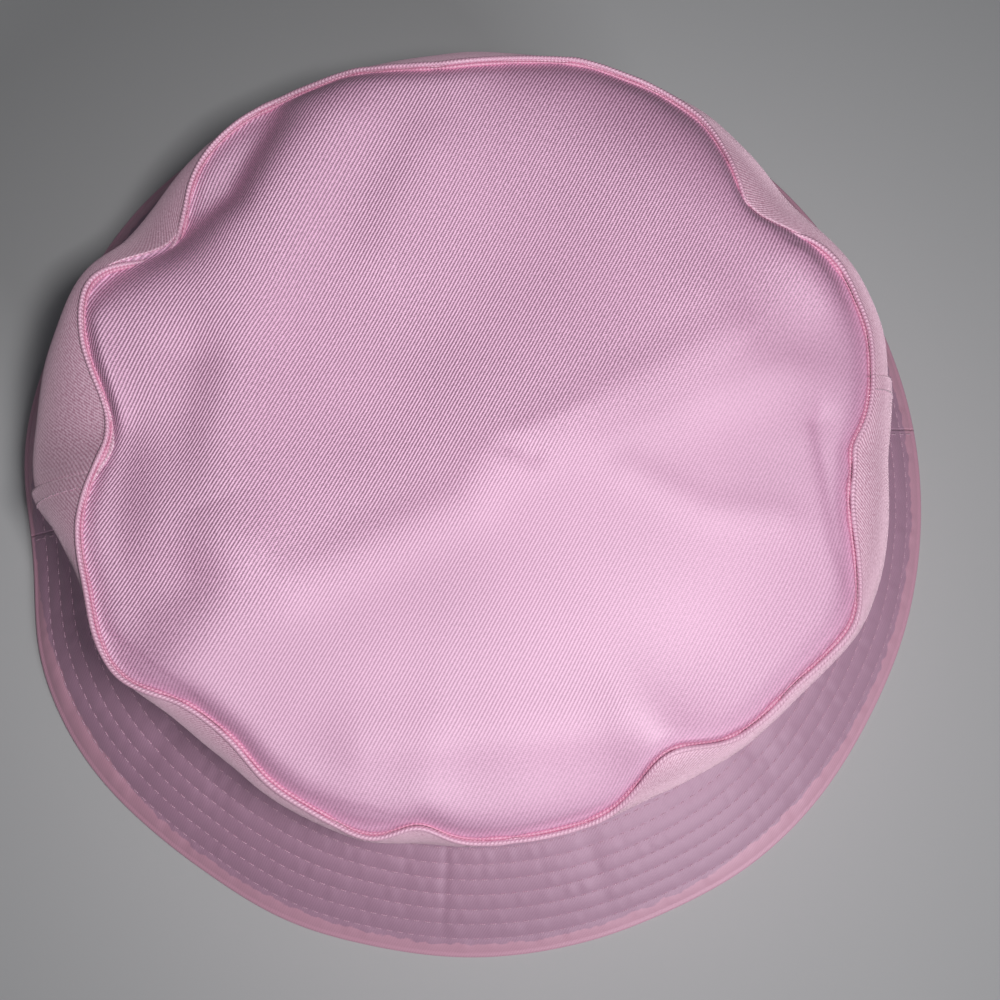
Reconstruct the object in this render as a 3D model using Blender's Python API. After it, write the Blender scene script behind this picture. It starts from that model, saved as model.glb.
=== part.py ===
"""A bucket hat: flat crown tip, two side panels, a quilted brim that lies on the table, and a sewn lining.

Metres, +Z up. The origin is on the surface the hem rests on, under the middle of the crown. +X and -X carry
the side seams, -Y is the front of the hat and +Y its back. Every piece is turned about the hat's upright axis
from a cross-section in the (radius, height) plane.
"""

import math

import bmesh
import bpy

# Driving dimensions
BRIM_RADIUS = 0.145
HEAD_RADIUS = 0.0955
TIP_RADIUS = 0.0905
TIP_HEIGHT = 0.093
JOINT_HEIGHT = 0.0265
WALL_BULGE = 0.012
TIP_CROWN = 0.003
BRIM_CROWN = 0.0012

# Cloth and seams
CLOTH = 0.0009
LINING_CLOTH = 0.0006
INTERLINING = 0.0008
ALLOWANCE_CLOTH = 0.0008
LABEL_CLOTH = 0.0005
GAP = 0.0003
ALLOWANCE = 0.008
HEM_LIP = 0.0045
HEM_HEIGHT = 0.0042
HEM_CHAMFER = 0.0008
UNDER_TRIM = 0.0030
EDGE_TURN_TRIM = 0.0035
WELT_RADIUS = 0.0009
WELT_INSET = 0.0006
WELT_SPACE = 0.0015
WELT_SIDES = 6
THREAD = 0.0005
SIDE_ROW_OFFSET = 0.004
JOINT_STEP = 0.0004

# Where pieces start and stop on the side of the crown, as shares of its height above the brim joint
SIDE_ROW_SPAN = (0.04, 0.95)
SIDE_ALLOWANCE_SPAN = (0.20, 0.84)
TIP_ALLOWANCE_END = 0.97
HEAD_ALLOWANCE_START = 0.05
HEAD_ROW_SPAN = (0.015, 0.025)
BAND_ROW_SPAN = (0.04, 0.05)
LINING_START = 0.02

# Where the stiff core stops on the brim, as a share of the way from the hem to the crown joint
CORE_END = 0.985

# Quilting of the brim
ROW_COUNT = 9
ROW_SPACING = 0.005
ROW_EDGE_MARGIN = 0.0055

# Sweatband and label
SWEATBAND_HEIGHT = 0.030
SWEATBAND_THICKNESS = 0.0012
LABEL_STEPS = 2
LABEL_LOW = 0.036
LABEL_HIGH = 0.060

# Turning: every piece shares these facets, so that neighbouring layers stay parallel
RING_STEPS = 60
FULL_TURN = 2 * math.pi
STEP_ANGLE = FULL_TURN / RING_STEPS
HALF_GAP_ANGLE = GAP / (2 * HEAD_RADIUS)
KNOTS = 3
MERGE_DISTANCE = 1e-6
SHARP_ANGLE = math.radians(35)

# How deep each layer lies under the outside of the cloth
INNER_SEAM_DEPTH = CLOTH + GAP
LINING_DEPTH = INNER_SEAM_DEPTH + ALLOWANCE_CLOTH + GAP
SWEATBAND_DEPTH = LINING_DEPTH + LINING_CLOTH + GAP
LABEL_DEPTH = SWEATBAND_DEPTH + SWEATBAND_THICKNESS + GAP
UNDER_DEPTH = INNER_SEAM_DEPTH + INTERLINING + GAP

BRIM_START = HEAD_RADIUS + JOINT_STEP
BRIM_WIDTH = BRIM_RADIUS - BRIM_START
WALL_HEIGHT = TIP_HEIGHT - JOINT_HEIGHT

# The angles of the two side seams, and the angles at which the front and back halves start
LEFT, RIGHT = math.pi, 0.0
FRONT, BACK = -math.pi, 0.0

COLOURS = {
    "pink_twill": ((0.62, 0.33, 0.50), 0.85),
    "brim_twill": ((0.42, 0.22, 0.33), 0.85),
    "lining_cotton": ((0.66, 0.47, 0.56), 0.90),
    "sweatband_twill": ((0.58, 0.33, 0.46), 0.85),
    "interlining": ((0.80, 0.79, 0.76), 0.95),
    "pink_thread": ((0.74, 0.45, 0.60), 0.55),
    "label_satin": ((0.86, 0.84, 0.82), 0.45),
}


def clear_scene():
    for item in list(bpy.data.objects):
        bpy.data.objects.remove(item, do_unlink=True)


def make_material(name):
    colour, roughness = COLOURS[name]
    material = bpy.data.materials.new(name)
    material.use_nodes = True
    shader = material.node_tree.nodes["Principled BSDF"]
    shader.inputs["Base Color"].default_value = (*colour, 1.0)
    shader.inputs["Roughness"].default_value = roughness
    shader.inputs["Metallic"].default_value = 0.0
    return material


# Cross-section curves: each is a list of (radius, height) points on the outside of the cloth


def wall_point(share):
    """A point on the side of the crown, from the brim joint at 0 to the tip at 1."""
    radius = HEAD_RADIUS + (TIP_RADIUS - HEAD_RADIUS) * share + WALL_BULGE * math.sin(math.pi * share)
    return radius, JOINT_HEIGHT + WALL_HEIGHT * share


def brim_point(share):
    """A point on the top of the brim, from the hem at 0 to the crown joint at 1."""
    rise = (JOINT_HEIGHT - HEM_HEIGHT) * share + BRIM_CROWN * math.sin(math.pi * share)
    return BRIM_RADIUS - BRIM_WIDTH * share, HEM_HEIGHT + rise


def tip_point(share):
    """A point on the gently domed top of the crown, from its seam at 0 to the axis at 1."""
    return TIP_RADIUS * (1 - share), TIP_HEIGHT + TIP_CROWN * (1 - (1 - share) ** 2)


def curve(point_at, low=0.0, high=1.0, knots=KNOTS):
    """The stretch of a curve between two shares, on chords between knots that every layer shares."""
    inner = [index / knots for index in range(1, knots) if low < index / knots < high]
    points = []
    for share in (low, *inner, high):
        before = min(math.floor(share * knots), knots - 1)
        part = share * knots - before
        start, end = point_at(before / knots), point_at((before + 1) / knots)
        points.append(tuple(a + (b - a) * part for a, b in zip(start, end)))
    return points


def sink(line, depth):
    """The line moved into the hat, square to itself, by a depth below the outside of the cloth."""
    moved = []
    for index, (radius, height) in enumerate(line):
        before = line[max(index - 1, 0)]
        after = line[min(index + 1, len(line) - 1)]
        run, rise = after[0] - before[0], after[1] - before[1]
        length = math.hypot(run, rise)
        moved.append((radius - depth * rise / length, height + depth * run / length))
    return moved


def layer(line, depth, thickness):
    """The closed outline of one sheet that lies at a depth under the line."""
    return sink(line, depth) + sink(line, depth + thickness)[::-1]


def thread_section(line, depth):
    """The three-sided outline of a sewn thread that runs across the middle of a short line."""
    outer, inner = sink(line, depth), sink(line, depth + THREAD)
    middle = ((outer[0][0] + outer[-1][0]) / 2, (outer[0][1] + outer[-1][1]) / 2)
    return [inner[0], inner[-1], middle]


# Solids


def turned_piece(name, outline, material, start=0.0, sweep=FULL_TURN, steps=RING_STEPS):
    """One closed solid: the outline swept about the hat's axis, capped where the sweep isn't a full turn."""
    shape = bmesh.new()
    corners = [shape.verts.new((r * math.cos(start), r * math.sin(start), z)) for r, z in outline]
    sides = [shape.edges.new((corners[i - 1], corner)) for i, corner in enumerate(corners)]
    bmesh.ops.spin(
        shape, geom=corners + sides, cent=(0, 0, 0), axis=(0, 0, 1), dvec=(0, 0, 0), angle=sweep, steps=steps
    )
    bmesh.ops.remove_doubles(shape, verts=shape.verts, dist=MERGE_DISTANCE)
    open_edges = [edge for edge in shape.edges if edge.is_boundary]
    bmesh.ops.holes_fill(shape, edges=open_edges, sides=0)
    bmesh.ops.delete(shape, geom=[edge for edge in shape.edges if edge.is_wire], context="EDGES")
    bmesh.ops.recalc_face_normals(shape, faces=shape.faces)
    if shape.calc_volume(signed=True) < 0:
        bmesh.ops.reverse_faces(shape, faces=shape.faces)
    mesh = bpy.data.meshes.new(name)
    shape.to_mesh(mesh)
    shape.free()
    mesh.shade_smooth()
    mesh.set_sharp_from_angle(angle=SHARP_ANGLE)
    mesh.materials.append(material)
    piece = bpy.data.objects.new(name, mesh)
    bpy.context.scene.collection.objects.link(piece)
    return piece


def half_piece(name, outline, material, side, trim_steps=0):
    """Half a ring from one side seam to the other, stopping short of both by a number of whole facets."""
    trim = HALF_GAP_ANGLE + trim_steps * STEP_ANGLE
    return turned_piece(
        name, outline, material, side + trim, math.pi - 2 * trim, RING_STEPS // 2 - 2 * trim_steps
    )


def seam_strip(name, outline, material, seam_angle, clearance=0.0):
    """The two turned-back allowances of a side seam, pressed flat across it, one facet to each side."""
    reach = STEP_ANGLE - clearance
    return turned_piece(name, outline, material, seam_angle - reach, 2 * reach, 2)


def build_crown(materials):
    twill, thread = materials["pink_twill"], materials["pink_thread"]
    tip_trim, wall_top = WELT_SPACE / TIP_RADIUS, 1 - WELT_SPACE / WALL_HEIGHT
    turned_piece("crown_tip", layer(curve(tip_point, tip_trim), 0, CLOTH), twill)
    side = layer(curve(wall_point, 0, wall_top), 0, CLOTH)
    half_piece("side_panel_front", side, twill, FRONT)
    half_piece("side_panel_back", side, twill, BACK)

    corners = [FULL_TURN * corner / WELT_SIDES for corner in range(WELT_SIDES)]
    centre = TIP_RADIUS - WELT_INSET
    welt = [(centre + WELT_RADIUS * math.cos(a), TIP_HEIGHT + WELT_RADIUS * math.sin(a)) for a in corners]
    turned_piece("tip_seam_welt", welt, twill)

    row = layer(curve(wall_point, *SIDE_ROW_SPAN), -GAP - THREAD, THREAD)
    strip = layer(curve(wall_point, *SIDE_ALLOWANCE_SPAN), INNER_SEAM_DEPTH, ALLOWANCE_CLOTH)
    for name, seam, towards_front in (("left", LEFT, 1), ("right", RIGHT, -1)):
        seam_strip(f"side_seam_allowance_{name}", strip, twill, seam)
        start = seam + towards_front * SIDE_ROW_OFFSET / HEAD_RADIUS
        turned_piece(f"side_topstitch_{name}", row, thread, start, THREAD / HEAD_RADIUS, 1)


def build_crown_seams(materials):
    twill, thread = materials["pink_twill"], materials["pink_thread"]
    allowance = ALLOWANCE / WALL_HEIGHT
    tip_line = curve(wall_point, TIP_ALLOWANCE_END - allowance, TIP_ALLOWANCE_END)
    tip_turn = layer(tip_line, INNER_SEAM_DEPTH, ALLOWANCE_CLOTH)
    turned_piece("tip_seam_allowance", tip_turn, twill)
    head_line = curve(wall_point, HEAD_ALLOWANCE_START, HEAD_ALLOWANCE_START + allowance)
    head_turn = layer(head_line, INNER_SEAM_DEPTH, ALLOWANCE_CLOTH)
    turned_piece("head_seam_allowance", head_turn, twill)
    head_row = thread_section(curve(wall_point, *HEAD_ROW_SPAN), INNER_SEAM_DEPTH)
    turned_piece("head_seam_thread", head_row, thread)


def build_lining(materials):
    lining, thread = materials["lining_cotton"], materials["pink_thread"]
    drop = LINING_DEPTH + LINING_CLOTH
    tip_trim = (drop + GAP) / TIP_RADIUS
    turned_piece("lining_tip", layer(curve(tip_point, tip_trim), INNER_SEAM_DEPTH, LINING_CLOTH), lining)
    side = layer(curve(wall_point, LINING_START, 1 - drop / WALL_HEIGHT), LINING_DEPTH, LINING_CLOTH)
    half_piece("lining_side_front", side, lining, FRONT)
    half_piece("lining_side_back", side, lining, BACK)

    band = layer(curve(wall_point, 0, SWEATBAND_HEIGHT / WALL_HEIGHT), SWEATBAND_DEPTH, SWEATBAND_THICKNESS)
    join = math.pi / 2 + HALF_GAP_ANGLE
    turned_piece("sweatband", band, materials["sweatband_twill"], join, FULL_TURN - 2 * HALF_GAP_ANGLE)
    band_row = thread_section(curve(wall_point, *BAND_ROW_SPAN), LABEL_DEPTH)
    turned_piece("sweatband_stitch", band_row, thread)

    shares = [(height - JOINT_HEIGHT) / WALL_HEIGHT for height in (LABEL_LOW, LABEL_HIGH)]
    label = layer(curve(wall_point, *shares), LABEL_DEPTH, LABEL_CLOTH)
    turn = LABEL_STEPS * STEP_ANGLE
    turned_piece("care_label", label, materials["label_satin"], (math.pi - turn) / 2, turn, LABEL_STEPS)


def hem_outline():
    """The top cloth of the brim, which rolls round the hem and under it to a flat lip on the table."""
    outside = curve(brim_point)
    inside = sink(outside, CLOTH)
    lip_inner = BRIM_RADIUS - HEM_LIP
    roll_inside = [(BRIM_RADIUS - CLOTH, inside[0][1]), (BRIM_RADIUS - CLOTH, CLOTH)]
    lip = [(lip_inner, CLOTH), (lip_inner, 0.0), (BRIM_RADIUS - HEM_CHAMFER, 0.0), (BRIM_RADIUS, HEM_CHAMFER)]
    return outside + inside[:0:-1] + roll_inside + lip


def build_brim(materials):
    brim, stiff = materials["brim_twill"], materials["interlining"]
    top = hem_outline()
    under = layer(curve(brim_point, UNDER_TRIM / BRIM_WIDTH), UNDER_DEPTH, CLOTH)
    turned_from, turned_to = EDGE_TURN_TRIM / BRIM_WIDTH, (EDGE_TURN_TRIM + ALLOWANCE / 2) / BRIM_WIDTH
    core = layer(curve(brim_point, turned_to + GAP / BRIM_WIDTH, CORE_END), INNER_SEAM_DEPTH, INTERLINING)
    for name, side in (("front", FRONT), ("back", BACK)):
        half_piece(f"brim_top_{name}", top, brim, side)
        half_piece(f"brim_under_{name}", under, brim, side)
        half_piece(f"brim_interlining_{name}", core, stiff, side, trim_steps=1)
    turned = layer(curve(brim_point, turned_from, turned_to), INNER_SEAM_DEPTH, ALLOWANCE_CLOTH)
    turned_piece("brim_edge_allowance", turned, brim)
    for name, seam in (("left", LEFT), ("right", RIGHT)):
        seam_strip(f"brim_seam_allowance_{name}", core, brim, seam, clearance=2 * HALF_GAP_ANGLE)


def build_quilting(materials):
    """The concentric rows of stitching, numbered from the hem inwards."""
    half = THREAD / 2 / BRIM_WIDTH
    for row in range(ROW_COUNT):
        share = (ROW_EDGE_MARGIN + row * ROW_SPACING) / BRIM_WIDTH
        section = thread_section(curve(brim_point, share - half, share + half), -GAP - THREAD)
        turned_piece(f"brim_stitch_row_{row + 1}", section, materials["pink_thread"])


def main():
    clear_scene()
    materials = {name: make_material(name) for name in COLOURS}
    build_crown(materials)
    build_crown_seams(materials)
    build_lining(materials)
    build_brim(materials)
    build_quilting(materials)


main()
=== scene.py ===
"""Looks of a pink twill bucket hat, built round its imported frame.

Metres, +Z up, in the frame's own axes: +X and -X carry the side seams and -Y is the front. Every cloth piece
is a grid laid on one of three surfaces: the crown tip, the crown wall and the brim. The tip and the wall meet
in a seam whose dents are listed by name, so that each layer under the cloth follows the same slumped shape.
"""

import math

import bpy
import numpy as np
from mathutils import Matrix, Vector


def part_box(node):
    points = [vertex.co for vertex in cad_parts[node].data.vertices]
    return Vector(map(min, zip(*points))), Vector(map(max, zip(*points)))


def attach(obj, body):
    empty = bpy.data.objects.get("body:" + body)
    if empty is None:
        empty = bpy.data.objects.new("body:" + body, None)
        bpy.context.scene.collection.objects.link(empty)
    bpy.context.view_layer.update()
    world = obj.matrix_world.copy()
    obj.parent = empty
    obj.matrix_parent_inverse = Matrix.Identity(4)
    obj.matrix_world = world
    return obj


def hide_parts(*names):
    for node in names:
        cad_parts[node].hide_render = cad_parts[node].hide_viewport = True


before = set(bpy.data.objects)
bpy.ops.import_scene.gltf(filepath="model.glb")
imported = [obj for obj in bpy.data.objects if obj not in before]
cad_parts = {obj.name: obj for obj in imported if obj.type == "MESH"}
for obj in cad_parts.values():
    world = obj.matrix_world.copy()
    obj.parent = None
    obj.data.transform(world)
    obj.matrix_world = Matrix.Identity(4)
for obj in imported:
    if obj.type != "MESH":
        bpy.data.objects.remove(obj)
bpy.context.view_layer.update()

MILLIMETRE = 0.001
FULL_TURN = 2 * math.pi

# Sizes read from the frame. The tip's slumped seam spreads past the frame's welt and sinks under its top. The
# crown joint lies between its thread, just inside it, and the edge of the brim's cloth, just outside it.
WELT_SPREAD = 0.0012
WELT_SINK = 0.0008
JOINT_GAP = 0.0006
BRIM_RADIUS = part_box("brim_top_front")[1].x
JOINT_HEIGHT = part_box("side_panel_front")[0].z
HEAD_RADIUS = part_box("head_seam_thread")[1].x + JOINT_GAP
BRIM_INNER = HEAD_RADIUS + JOINT_GAP
TIP_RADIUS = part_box("tip_seam_welt")[1].x + WELT_SPREAD
TIP_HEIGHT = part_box("tip_seam_welt")[1].z - WELT_SINK
CROWN_RISE = TIP_HEIGHT - JOINT_HEIGHT
ROW_NODES = sorted(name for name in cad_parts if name.startswith("brim_stitch_row"))
ROW_RADII = [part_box(name)[1].x for name in ROW_NODES]
ROW_SHARES = [(radius - BRIM_INNER) / (BRIM_RADIUS - BRIM_INNER) for radius in ROW_RADII]
SWEATBAND_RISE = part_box("sweatband")[1].z - JOINT_HEIGHT
LABEL_LOW, LABEL_HIGH = ((corner.z - JOINT_HEIGHT) / CROWN_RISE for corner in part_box("care_label"))
LABEL_HALF_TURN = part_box("care_label")[1].x / HEAD_RADIUS

# Cloth layers, as depths under the outside of the hat
CLOTH = 0.0005
LINING_CLOTH = 0.0004
ALLOWANCE_DEPTH = 0.0007
LINING_DEPTH = 0.0016
SWEATBAND_DEPTH = 0.0023
SWEATBAND_THICKNESS = 0.0009
LABEL_DEPTH = 0.0036
LABEL_CLOTH = 0.0003
INTERLINING_DEPTH = 0.0008
INTERLINING = 0.0007
UNDER_DEPTH = 0.0019

# Twill: ridge pitch, the slant of the ridges on the flat cloth, and the yarn pitch along a ridge
TWILL_PITCH = 0.00074
TWILL_ANGLE = math.radians(54)
YARN_PITCH = 0.00045
TWILL_WANDER = 0.00020
TWILL_RELIEF = 0.00009

# Noise in the twill: how many patches fit in a metre of cloth, then the weights of yarns, fibres and tint
WANDER_SCALE = 220.0
FIBRE_SCALE = 2600.0
GLINT_SCALE = 1500.0
BLOTCH_SCALE = 26.0
HEM_EDGE_SCALE = 260.0
YARN_SHARE = 0.16
FIBRE_SHADE = 1.1
FIBRE_HEIGHT = 0.4
BLOTCH_SHARE = 0.5

# How the tip's weave changes across the long fold: its relief and its colour contrast are low in front of the
# fold and high behind it. The colour contrast is painted light and shade: the weave washed out by the broad
# highlight in front, and dark grooves where the light grazes behind. The span is measured across the fold,
# from the middle of the tip.
FOLD_SLANT = math.radians(22)
WEAVE_SHADE_SPAN = (-0.020, 0.004)
FRONT_WEAVE_GAIN = 0.45
BACK_WEAVE_GAIN = 1.4

# Satin face of the cloth: its long floats mirror light broadly, paler than the cloth's own colour
SATIN_ROUGHNESS = 0.6
SATIN_IOR = 3.0
SATIN_LEVEL = 0.5
SATIN_TINT = (1.0, 0.84, 0.94, 1.0)
SHEEN_TINT = (1.0, 0.70, 0.82, 1.0)

# Thread, tape and unwoven cloth
PLY_PITCH = 0.0006
PLY_RELIEF = 0.00005
FELT_RELIEF = 0.00008
TAPE_COLUMN = 0.005
TAPE_PITCH = 0.0011
TAPE_FIBRE_SCALE = 1800.0
TAPE_FIBRE_SHARE = 0.4
TAPE_RELIEF = 0.00014

# Colours of each twill, as 0 to 255 screen values: its ridges, its grooves and the slow tint over both. The
# grooves are darker than the ridges: painted shade in the weave's grooves, over the bump's own relief.
TWILL_COLOURS = {
    "tip": ((252, 192, 228), (118, 60, 96), (238, 172, 210)),
    # The wall's colours are lighter than the tip's, though it is the same cloth: painted light, for the
    # bright shimmer of its sides
    "wall": ((255, 212, 232), (184, 112, 142), (246, 196, 218)),
    # The brim's colours are darker than the tip's, though it is the same cloth: painted shade
    "brim": ((206, 156, 184), (186, 136, 165), (196, 145, 174)),
    "seam": ((238, 160, 192), (208, 120, 154), (232, 152, 186)),
    "seam_wall": ((236, 186, 208), (206, 146, 174), (230, 172, 198)),
}
# The rolled hem is lighter than the brim: a painted highlight, for the light its rolled edge catches
HEM_HIGHLIGHT_COLOUR = (236, 172, 196)

# Brim
HEM_ROLL = 0.0017
HEM_LIP = 0.0040
HEM_RAGGEDNESS = 0.0030
BRIM_CROWN = 0.0016
BRIM_RELIEF = 0.00004
QUILT_PUFF = 0.00034
HEM_PUFF = 0.00045
PUFF_ROUNDNESS = 0.8
FIRST_PUFF_START = -0.06

# Stitches. Their ends dip into the cloth, and each one's length and direction vary a little.
STITCH_PITCH = 0.0033
STITCH_LENGTH = 0.0025
STITCH_WIDTH = 0.00036
STITCH_LIFT = 0.00010
STITCH_LENGTHS = (0.92, 1.06)
STITCH_TURN = 0.035
STITCH_DIP = 0.45
STITCH_FLATNESS = 0.8
STITCH_RINGS, STITCH_SIDES = 7, 6
STITCH_BLUNTNESS = 4
STITCH_END = 0.05
SIDE_ROW_OFFSET = 0.0035
BRIM_SEAM_ROW = 0.0016
SIDE_ROW_SPAN = (0.03, 0.97)
HEAD_ROW_SHARE = 0.985
SWEATBAND_ROW_SHARE = 0.955

# Crown
WALL_CLOTH_HEIGHT = 0.078
WALL_RADIUS = 0.0989
WALL_LOWER_SHARE = 0.45
WALL_UPPER_SHARE = 0.95
WALL_TOP_SHARE = 0.7
CURVE_END_WEIGHT = 0.125
TIP_DOME = -0.0031
BUNCHING = 0.7
SEAM_SPREAD = 0.0009
SEAM_ROLL_DEPTH = 0.0020
SEAM_ROLL_WIDTH = 0.0032
SIDE_SEAM_STEP = 0.0012
SIDE_SEAM_WIDTH = math.radians(10)
ALLOWANCE = 0.008

# How fast each effect of the seam fades towards the middle of the tip, as a power of the share of the radius.
# The folds fade the other way, towards the seam.
PLAN_FADE = 3
SEAM_FADE = 7
FOLD_FADE = 14
RIM_FADE = 20

# The roped edges of the tip seam. The twist is tight round ROPE_CENTRE, in degrees, and soft opposite it. The
# span says where it changes, as cosines of the angle from that centre.
ROPE_PITCH = 0.00090
ROPE_CENTRE = 72.0
ROPE_SPAN = (-0.6, -0.1)
ROPE_SOFT, ROPE_TIGHT = 0.1, 1.0
EDGE_SIDES = 12

# Rows of each layer's grid: the shares of its surface where they start and end, and how many there are
ALLOWANCE_SHARE = ALLOWANCE / WALL_CLOTH_HEIGHT
ROWS = {
    "wall": (1.0, 0.0, 110),
    "wall lining": (0.965, 0.02, 40),
    "brim": (0.0, 1.0, 120),
    "hem roll": (1.0, 2.0, 11),
    "hem lip": (2.0, 3.0, 5),
    "brim under": (0.0, 0.965, 80),
    "interlining": (0.02, 0.86, 12),
    "tip allowance": (0.965, 0.965 - ALLOWANCE_SHARE, 8),
    "head allowance": (0.03 + ALLOWANCE_SHARE, 0.03, 8),
    "hem allowance": (0.88, 0.96, 8),
    "side allowance": (0.85, 0.15, 30),
    "brim allowance": (0.03, 0.86, 20),
    "sweatband": (SWEATBAND_RISE / CROWN_RISE, 0.005, 30),
    "label": (LABEL_HIGH, LABEL_LOW, 16),
}
# Columns of each grid, for a full turn or across a seam or a label
ROUND_STEPS = 960
BRIM_STEPS = 1400
HIDDEN_STEPS = 480
ACROSS_STEPS = 24
ACROSS_BRIM_STEPS = 12
TIP_GRID = 306
TIP_LINING_GRID = 120
TIP_LINING_REACH = 0.975
SEAM_TRIM = 0.0004
# A wider run of angles than this is a full turn, whose grid is joined into a ring
MOST_OPEN = 1.5 * math.pi

# The view: the hat lies turned a little against the picture, under a camera held over its front
VIEW_TURN = math.radians(7)
CAMERA_PLACE = (0.002, -0.0471, 0.3084)
CAMERA_PITCH = math.radians(7.74)
CAMERA_ROLL = math.radians(-1.14)
CAMERA_LENS = 34.56
CAMERA_CLIP = 0.01
SENSOR = 36.0

# Dents and bulges of the seam round the crown tip: angle and half-width in degrees, then how far the seam
# moves outwards and upwards, in millimetres
SEAM_SHAPES = {
    "left seam dent": (173.0, 7.5, -8.5, -3.0),
    "upper left fold": (140.5, 6.5, -13.0, -8.5),
    "upper left shoulder": (144.0, 8.5, 7.0, 3.5),
    "back left": (118.0, 6.0, 1.5, 0.0),
    "back flat": (86.5, 10.0, -7.0, 4.5),
    "back right bulge": (55.0, 10.0, 2.5, -3.0),
    "upper right dent": (31.5, 6.5, -9.5, 2.0),
    "right shoulder": (17.5, 13.5, 2.5, 1.5),
    "right dent": (-16.0, 7.5, -5.5, 0.5),
    "right pucker": (-10.5, 2.0, -1.5, 0.0),
    "lower right corner": (-34.5, 5.5, 4.0, 0.0),
    "lower right dent": (-67.0, 5.5, -8.0, 4.5),
    "front notch": (-104.5, 3.0, -3.5, 0.5),
    "front notch lip": (-110.0, 4.5, 2.0, 0.0),
    "front left flat": (-141.5, 9.0, -7.0, -1.0),
    "left corner": (-150.5, 7.5, 7.0, 1.0),
}
# How the rim of the tip turns up or down beside the seam: angle and half-width in degrees, then millimetres
RIM_TURNS = {
    "right": (0.0, 15.0, 1.0),
    "right back": (30.0, 15.0, -2.0),
    "back right": (60.0, 15.0, 1.0),
    "back": (90.0, 15.0, 1.0),
    "back left": (120.0, 15.0, -4.0),
    "upper left": (150.0, 15.0, 1.0),
    "left": (180.0, 15.0, -1.0),
    "lower left": (240.0, 15.0, -1.0),
    "front": (270.0, 15.0, -2.0),
    "front right": (300.0, 15.0, 0.5),
    "lower right": (330.0, 15.0, 1.0),
}
# Where the tip's cloth slumps over the seam and hides its folded edges: angle and half-width in degrees, then
# how far the edges tuck under the cloth, in millimetres
SEAM_TUCKS = {
    "upper left lobe": (144.5, 3.4, 2.2),
    "upper right lobe": (28.0, 3.0, 2.0),
}
# Bulges of the wall's widest line: angle and half-width in degrees, then outwards in millimetres
WALL_SHAPES = {
    "upper right": (45.0, 12.0, 3.5),
    "right shoulder": (12.0, 10.0, 6.0),
    "right side": (-25.0, 14.0, 6.0),
    "front": (-85.0, 16.0, -3.0),
    "front left": (-158.0, 7.0, -0.5),
    "left fold": (178.0, 7.0, 9.5),
    "left shoulder": (163.0, 8.0, 8.0),
    "upper left": (140.0, 12.0, 4.0),
    "back": (95.0, 20.0, -2.0),
}
# Soft buckles of the wall: angle in degrees and share of the height of the middle, half-widths in the same
# units, depth in millimetres, and how many degrees the buckle leans over the whole height
WALL_BUCKLES = {
    "left pucker": (176.5, 0.86, 3.5, 0.13, 3.5, 0.0),
    "front left buckle": (-140.0, 0.50, 9.0, 0.16, 2.2, 40.0),
    "front buckle": (-98.0, 0.38, 13.0, 0.12, 1.8, -50.0),
    "front right buckle": (-55.0, 0.52, 8.0, 0.18, 2.0, 36.0),
    "right buckle": (22.0, 0.45, 7.0, 0.17, 2.2, -30.0),
    "back right buckle": (62.0, 0.60, 9.0, 0.14, 2.2, 44.0),
    "back buckle": (112.0, 0.40, 12.0, 0.14, 2.0, -46.0),
    "upper left buckle": (150.0, 0.55, 7.0, 0.18, 2.4, 30.0),
}
# Waves of the hem's outline: angle and half-width in degrees, then outwards in millimetres
HEM_SHAPES = {
    "left tuck": (-178.0, 7.0, -4.0),
    "left corner": (-155.0, 10.0, 3.0),
    "lower right": (-59.0, 8.0, 1.3),
}
# Soft radial creases of the brim: angle and half-width in degrees, then depth in millimetres
BRIM_CREASES = {
    "front crease": (-101.0, 0.5, 0.35),
    "front crease beside it": (-106.5, 0.8, 0.15),
    "front right ripple": (-80.0, 1.2, 0.4),
    "lower left crease": (-135.0, 1.5, 0.3),
    "lower left ripple": (-146.0, 1.4, 0.5),
    "lower right ripple": (-52.0, 1.5, 0.4),
}
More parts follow.
